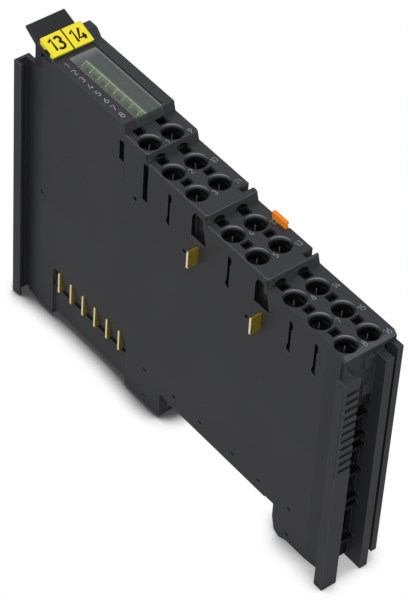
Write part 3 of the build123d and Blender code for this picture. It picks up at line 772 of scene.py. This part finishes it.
def makeBoardFinish(name, tones):
    shade = Finish(name)
    weave = shade.noise(board["weavePerMetre"], 3.0)
    return shade.close(Base_Color=shade.mixed(weave, *tones), Roughness=board["roughness"],
                       Coat_Weight=board["coat"],
                       Normal=shade.bump(weave, board["weaveStrength"], board["weaveDepth"],
                                         shade.rounded(board["edgeRadius"])))


def makeEpoxyFinish():
    shade = Finish("chip_epoxy")
    grain = shade.noise(chip["grainPerMetre"], 2.0)
    return shade.close(Base_Color=shade.mixed(grain, *chip["epoxy"]),
                       Roughness=grain * chip["roughnessSpread"] + chip["roughness"],
                       Normal=shade.rounded(chip["edgeRadius"]))


def makeCanFinish():
    shade = Finish("drawn_can")
    lines = shade.noise(can["linesPerMetre"], 2.0)
    return shade.close(Base_Color=can["base"], Metallic=1.0,
                       Roughness=lines * can["roughnessSpread"] + can["roughness"],
                       Normal=shade.rounded(can["edgeRadius"]))


wear("circuit_board", makeBoardFinish("solder_mask", board["mask"]))
wear("lamp_board", makeBoardFinish("dark_mask", board["darkMask"]))
epoxyFinish = makeEpoxyFinish()
for name in ("logic_chip", "optocouplers", "input_resistors"):
    wear(name, epoxyFinish)
wear("capacitor", makeCanFinish())
print("board finished")


# Printed numbers

numbers = {
    "advance": 0.78,
    "narrowAdvance": 0.54,
    "thickness": 0.012 * mm,
    "bowStep": 15,  # degrees
    "bevelSteps": 2,
    "nearRow": -0.72 * mm,
    "farRow": 4.68 * mm,
    "besideEntry": 1.66 * mm,
    "lampRow": -4.55 * mm,
    "besideLamp": -1.0 * mm,
    "markerSlope": 0.3365,
    "wearPerMetre": 3000.0,
    "roughness": 0.55,
    "specular": 0.1,
}
prints = {
    "grey": {"size": 1.22 * mm, "stroke": 0.115 * mm,
             "ink": colour(176, 180, 184), "worn": colour(130, 134, 138)},
    "lamp": {"size": 1.4 * mm, "stroke": 0.115 * mm,
             "ink": colour(206, 210, 214), "worn": colour(160, 164, 168)},
    "black": {"size": 2.8 * mm, "stroke": 0.56 * mm,
              "ink": colour(14, 14, 14), "worn": colour(34, 34, 34)},
}


def inkFinish(kind):
    shade = Finish(kind + "_print")
    worn = shade.noise(numbers["wearPerMetre"], 3.0)
    return shade.close(Base_Color=shade.mixed(worn, prints[kind]["ink"], prints[kind]["worn"]),
                       Roughness=numbers["roughness"], Specular_IOR_Level=numbers["specular"])


inks = {kind: inkFinish(kind) for kind in prints}


# Every digit as strokes: points across and up, in parts of the digit's height
def bow(across, up, wide, tall, first, last):
    steps = max(4, int(abs(last - first) / numbers["bowStep"]))
    angles = [math.radians(first + (last - first) * i / steps) for i in range(steps + 1)]
    return [(across + wide * math.cos(angle), up + tall * math.sin(angle)) for angle in angles]


strokes = {
    "1": [[(0.1, 0.8), (0.34, 1.0), (0.34, 0.0)]],
    "2": [bow(0.28, 0.74, 0.26, 0.26, 165, -35) + [(0.02, 0.0), (0.56, 0.0)]],
    "3": [bow(0.27, 0.77, 0.23, 0.23, 150, -90), bow(0.27, 0.27, 0.27, 0.27, 90, -150)],
    "4": [[(0.34, 1.0), (0.0, 0.24), (0.58, 0.24)], [(0.42, 0.5), (0.42, 0.0)]],
    "5": [[(0.5, 1.0), (0.1, 1.0), (0.07, 0.56)] + bow(0.27, 0.31, 0.27, 0.31, 120, -150)],
    "6": [[(0.42, 1.0), (0.07, 0.46)], bow(0.28, 0.29, 0.27, 0.29, 0, 360)],
    "7": [[(0.0, 1.0), (0.56, 1.0), (0.2, 0.0)]],
    "8": [bow(0.28, 0.77, 0.22, 0.23, 0, 360), bow(0.28, 0.27, 0.27, 0.27, 0, 360)],
    "9": [[(0.14, 0.0), (0.49, 0.54)], bow(0.28, 0.71, 0.27, 0.29, 0, 360)],
    "0": [bow(0.28, 0.7, 0.28, 0.3, 0, 180) + bow(0.28, 0.3, 0.28, 0.3, 180, 360) + [(0.56, 0.7)]],
}


# A number as tubes along its strokes, flattened when it is printed
def drawNumber(name, words, size, stroke):
    curve = bpy.data.curves.new(name, "CURVE")
    curve.dimensions = "3D"
    curve.bevel_depth = stroke / 2
    curve.bevel_resolution = numbers["bevelSteps"]
    curve.use_fill_caps = True
    start = 0.0
    for digit in words:
        for points in strokes[digit]:
            line = curve.splines.new("POLY")
            line.points.add(len(points) - 1)
            for point, (across, up) in zip(line.points, points):
                point.co = ((across + start) * size, up * size, 0, 1)
        start += numbers["narrowAdvance"] if digit == "1" else numbers["advance"]
    draft = bpy.data.objects.new(name + "_draft", curve)
    bpy.context.scene.collection.objects.link(draft)
    bpy.context.view_layer.update()
    mesh = bpy.data.meshes.new_from_object(draft)
    bpy.data.objects.remove(draft)
    return mesh


# A number lies on the surface; its top points to the marker end of the module
def printNumber(name, words, centre, kind, body, slope=0.0):
    stroke = prints[kind]["stroke"]
    mesh = drawNumber(name, words, prints[kind]["size"], stroke)
    sides = [[vertex.co[i] for vertex in mesh.vertices] for i in range(3)]
    middle = Vector([(min(side) + max(side)) / 2 for side in sides])
    up = Vector((-1.0, 0.0, slope)).normalized()
    right = Vector((0.0, 1.0, 0.0))
    turn = Matrix((right, up, right.cross(up))).transposed().to_4x4()
    flatten = Matrix.Diagonal((1.0, 1.0, 2 * numbers["thickness"] / stroke, 1.0))
    there = Matrix.Translation(Vector(centre))
    mesh.transform(there @ turn @ flatten @ Matrix.Translation(-middle))
    mesh.name = name
    piece = addPiece(name, mesh, inks[kind])
    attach(piece, body)


def addPiece(name, mesh, finish):
    mesh.materials.clear()
    mesh.materials.append(finish)
    piece = bpy.data.objects.new(name, mesh)
    bpy.context.scene.collection.objects.link(piece)
    return piece


# The wire entries, found from the mounts of the record: number, centre and height of the face
def findEntries():
    found = []
    for mount in frame["record"]["mounts"]:
        if mount["name"].startswith("wire_entry_"):
            number = int(mount["name"].split("_")[-1])
            x, y, z = mount["pos_m"]
            top = max(plateTop for start, end, plateTop in plates if start < x < end)
            found.append((number, x, y, top))
    return sorted(found)


entries = findEntries()
for number, x, y, top in entries:
    row = numbers["nearRow"] if y < 0 else numbers["farRow"]
    printNumber(f"entry_number_{number}", str(number), (x + numbers["besideEntry"], row, top),
                "grey", "module")

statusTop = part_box("led_window")[1][2]
for i in range(1, 9):
    low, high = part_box(f"status_lamp_{i}")
    middle = (low[0] + high[0]) / 2 + numbers["besideLamp"]
    printNumber(f"lamp_number_{i}", str(i), (middle, numbers["lampRow"], statusTop),
                "lamp", "module")

slope = numbers["markerSlope"]
for name, words in (("marker_near", "13"), ("marker_far", "14")):
    low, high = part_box(name)
    middle = ((low[0] + high[0]) / 2, (low[1] + high[1]) / 2)
    top = high[2] - (middle[0] - low[0]) * slope
    printNumber(name + "_number", words, (*middle, top),
                "black", "marker_slide", slope)
print("numbers printed")


# Ribs inside the wire entries: a spring edge deep in each entry, coloured pale as a painted glint

rib = {
    "pale": colour(128, 130, 134),
    "dark": colour(100, 102, 106),
    "cloudsPerMetre": 2000.0,
    "roughness": 0.4,
    "edgeRadius": 0.04 * mm,
    "thickness": 0.14 * mm,
    "width": 0.14 * mm,
    "top": 2.1 * mm,
    "bottom": 3.35 * mm,
    "across": -1.3 * mm,
    "along": 1.03 * mm,
}


def ribFinish():
    shade = Finish("lit_rib")
    cloud = shade.noise(rib["cloudsPerMetre"], 1.0)
    return shade.close(Base_Color=shade.mixed(cloud, rib["pale"], rib["dark"]),
                       Roughness=rib["roughness"], Normal=shade.rounded(rib["edgeRadius"]))


def makeRib(number, x, y, top, finish):
    shape = bmesh.new()
    wide = rib["width"] / 2
    thick = rib["thickness"] / 2
    outline = ((-wide, -rib["bottom"]), (wide, -rib["bottom"]),
               (wide, -rib["top"]), (-wide, -rib["top"]))
    x += rib["across"]
    y += rib["along"]
    rings = [[shape.verts.new((x + across, y + side * thick, top + rise))
              for across, rise in outline] for side in (-1, 1)]
    shape.faces.new(rings[0])
    shape.faces.new(list(reversed(rings[1])))
    for i in range(4):
        j = (i + 1) % 4
        shape.faces.new((rings[0][j], rings[0][i], rings[1][i], rings[1][j]))
    bmesh.ops.recalc_face_normals(shape, faces=shape.faces)
    mesh = bpy.data.meshes.new(f"entry_glint_rib_{number}")
    shape.to_mesh(mesh)
    shape.free()
    piece = addPiece(f"entry_glint_rib_{number}", mesh, finish)
    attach(piece, "module")


glintRib = ribFinish()
for number, x, y, top in entries:
    makeRib(number, x, y, top, glintRib)
print("entry ribs made")
